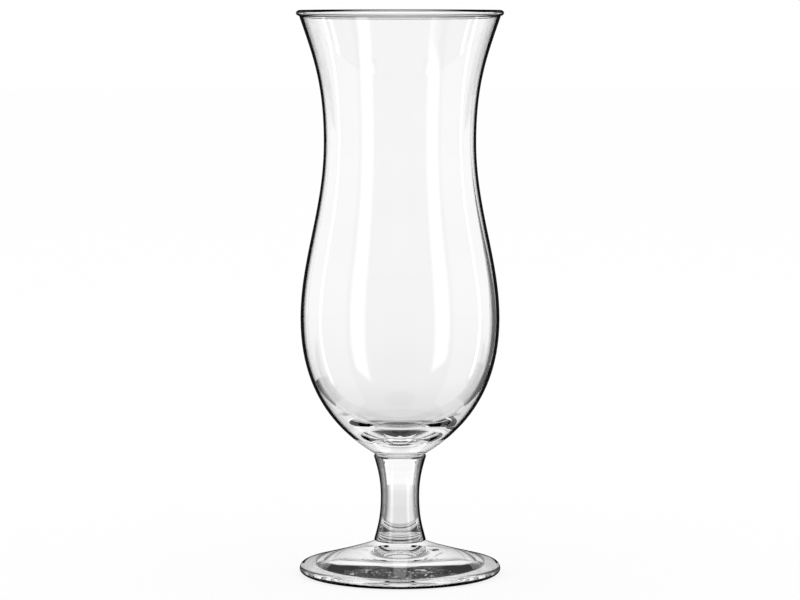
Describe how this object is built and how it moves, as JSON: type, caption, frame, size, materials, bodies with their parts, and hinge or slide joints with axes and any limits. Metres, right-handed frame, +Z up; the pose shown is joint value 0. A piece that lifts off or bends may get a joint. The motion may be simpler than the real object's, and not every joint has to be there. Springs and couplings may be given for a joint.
{
  "type": "cocktail glass",
  "caption": "Tall stemmed cocktail glass in clear glass, with a beaded flared rim, narrow waist, full belly and thick base, on a short stem and a round foot.",
  "frame": {"origin": "centre of the foot's standing ring, on the table plane", "axes": "+Z up along the turning axis; -Y faces the picture's camera and +X is to its right"},
  "size_m": [0.0754, 0.0754, 0.2065],
  "materials": {
    "clear_glass": "clear, fire-polished"
  },
  "bodies": {
    "root": {"bowl": "clear_glass", "stem": "clear_glass", "foot": "clear_glass"}
  },
  "joints": []
}
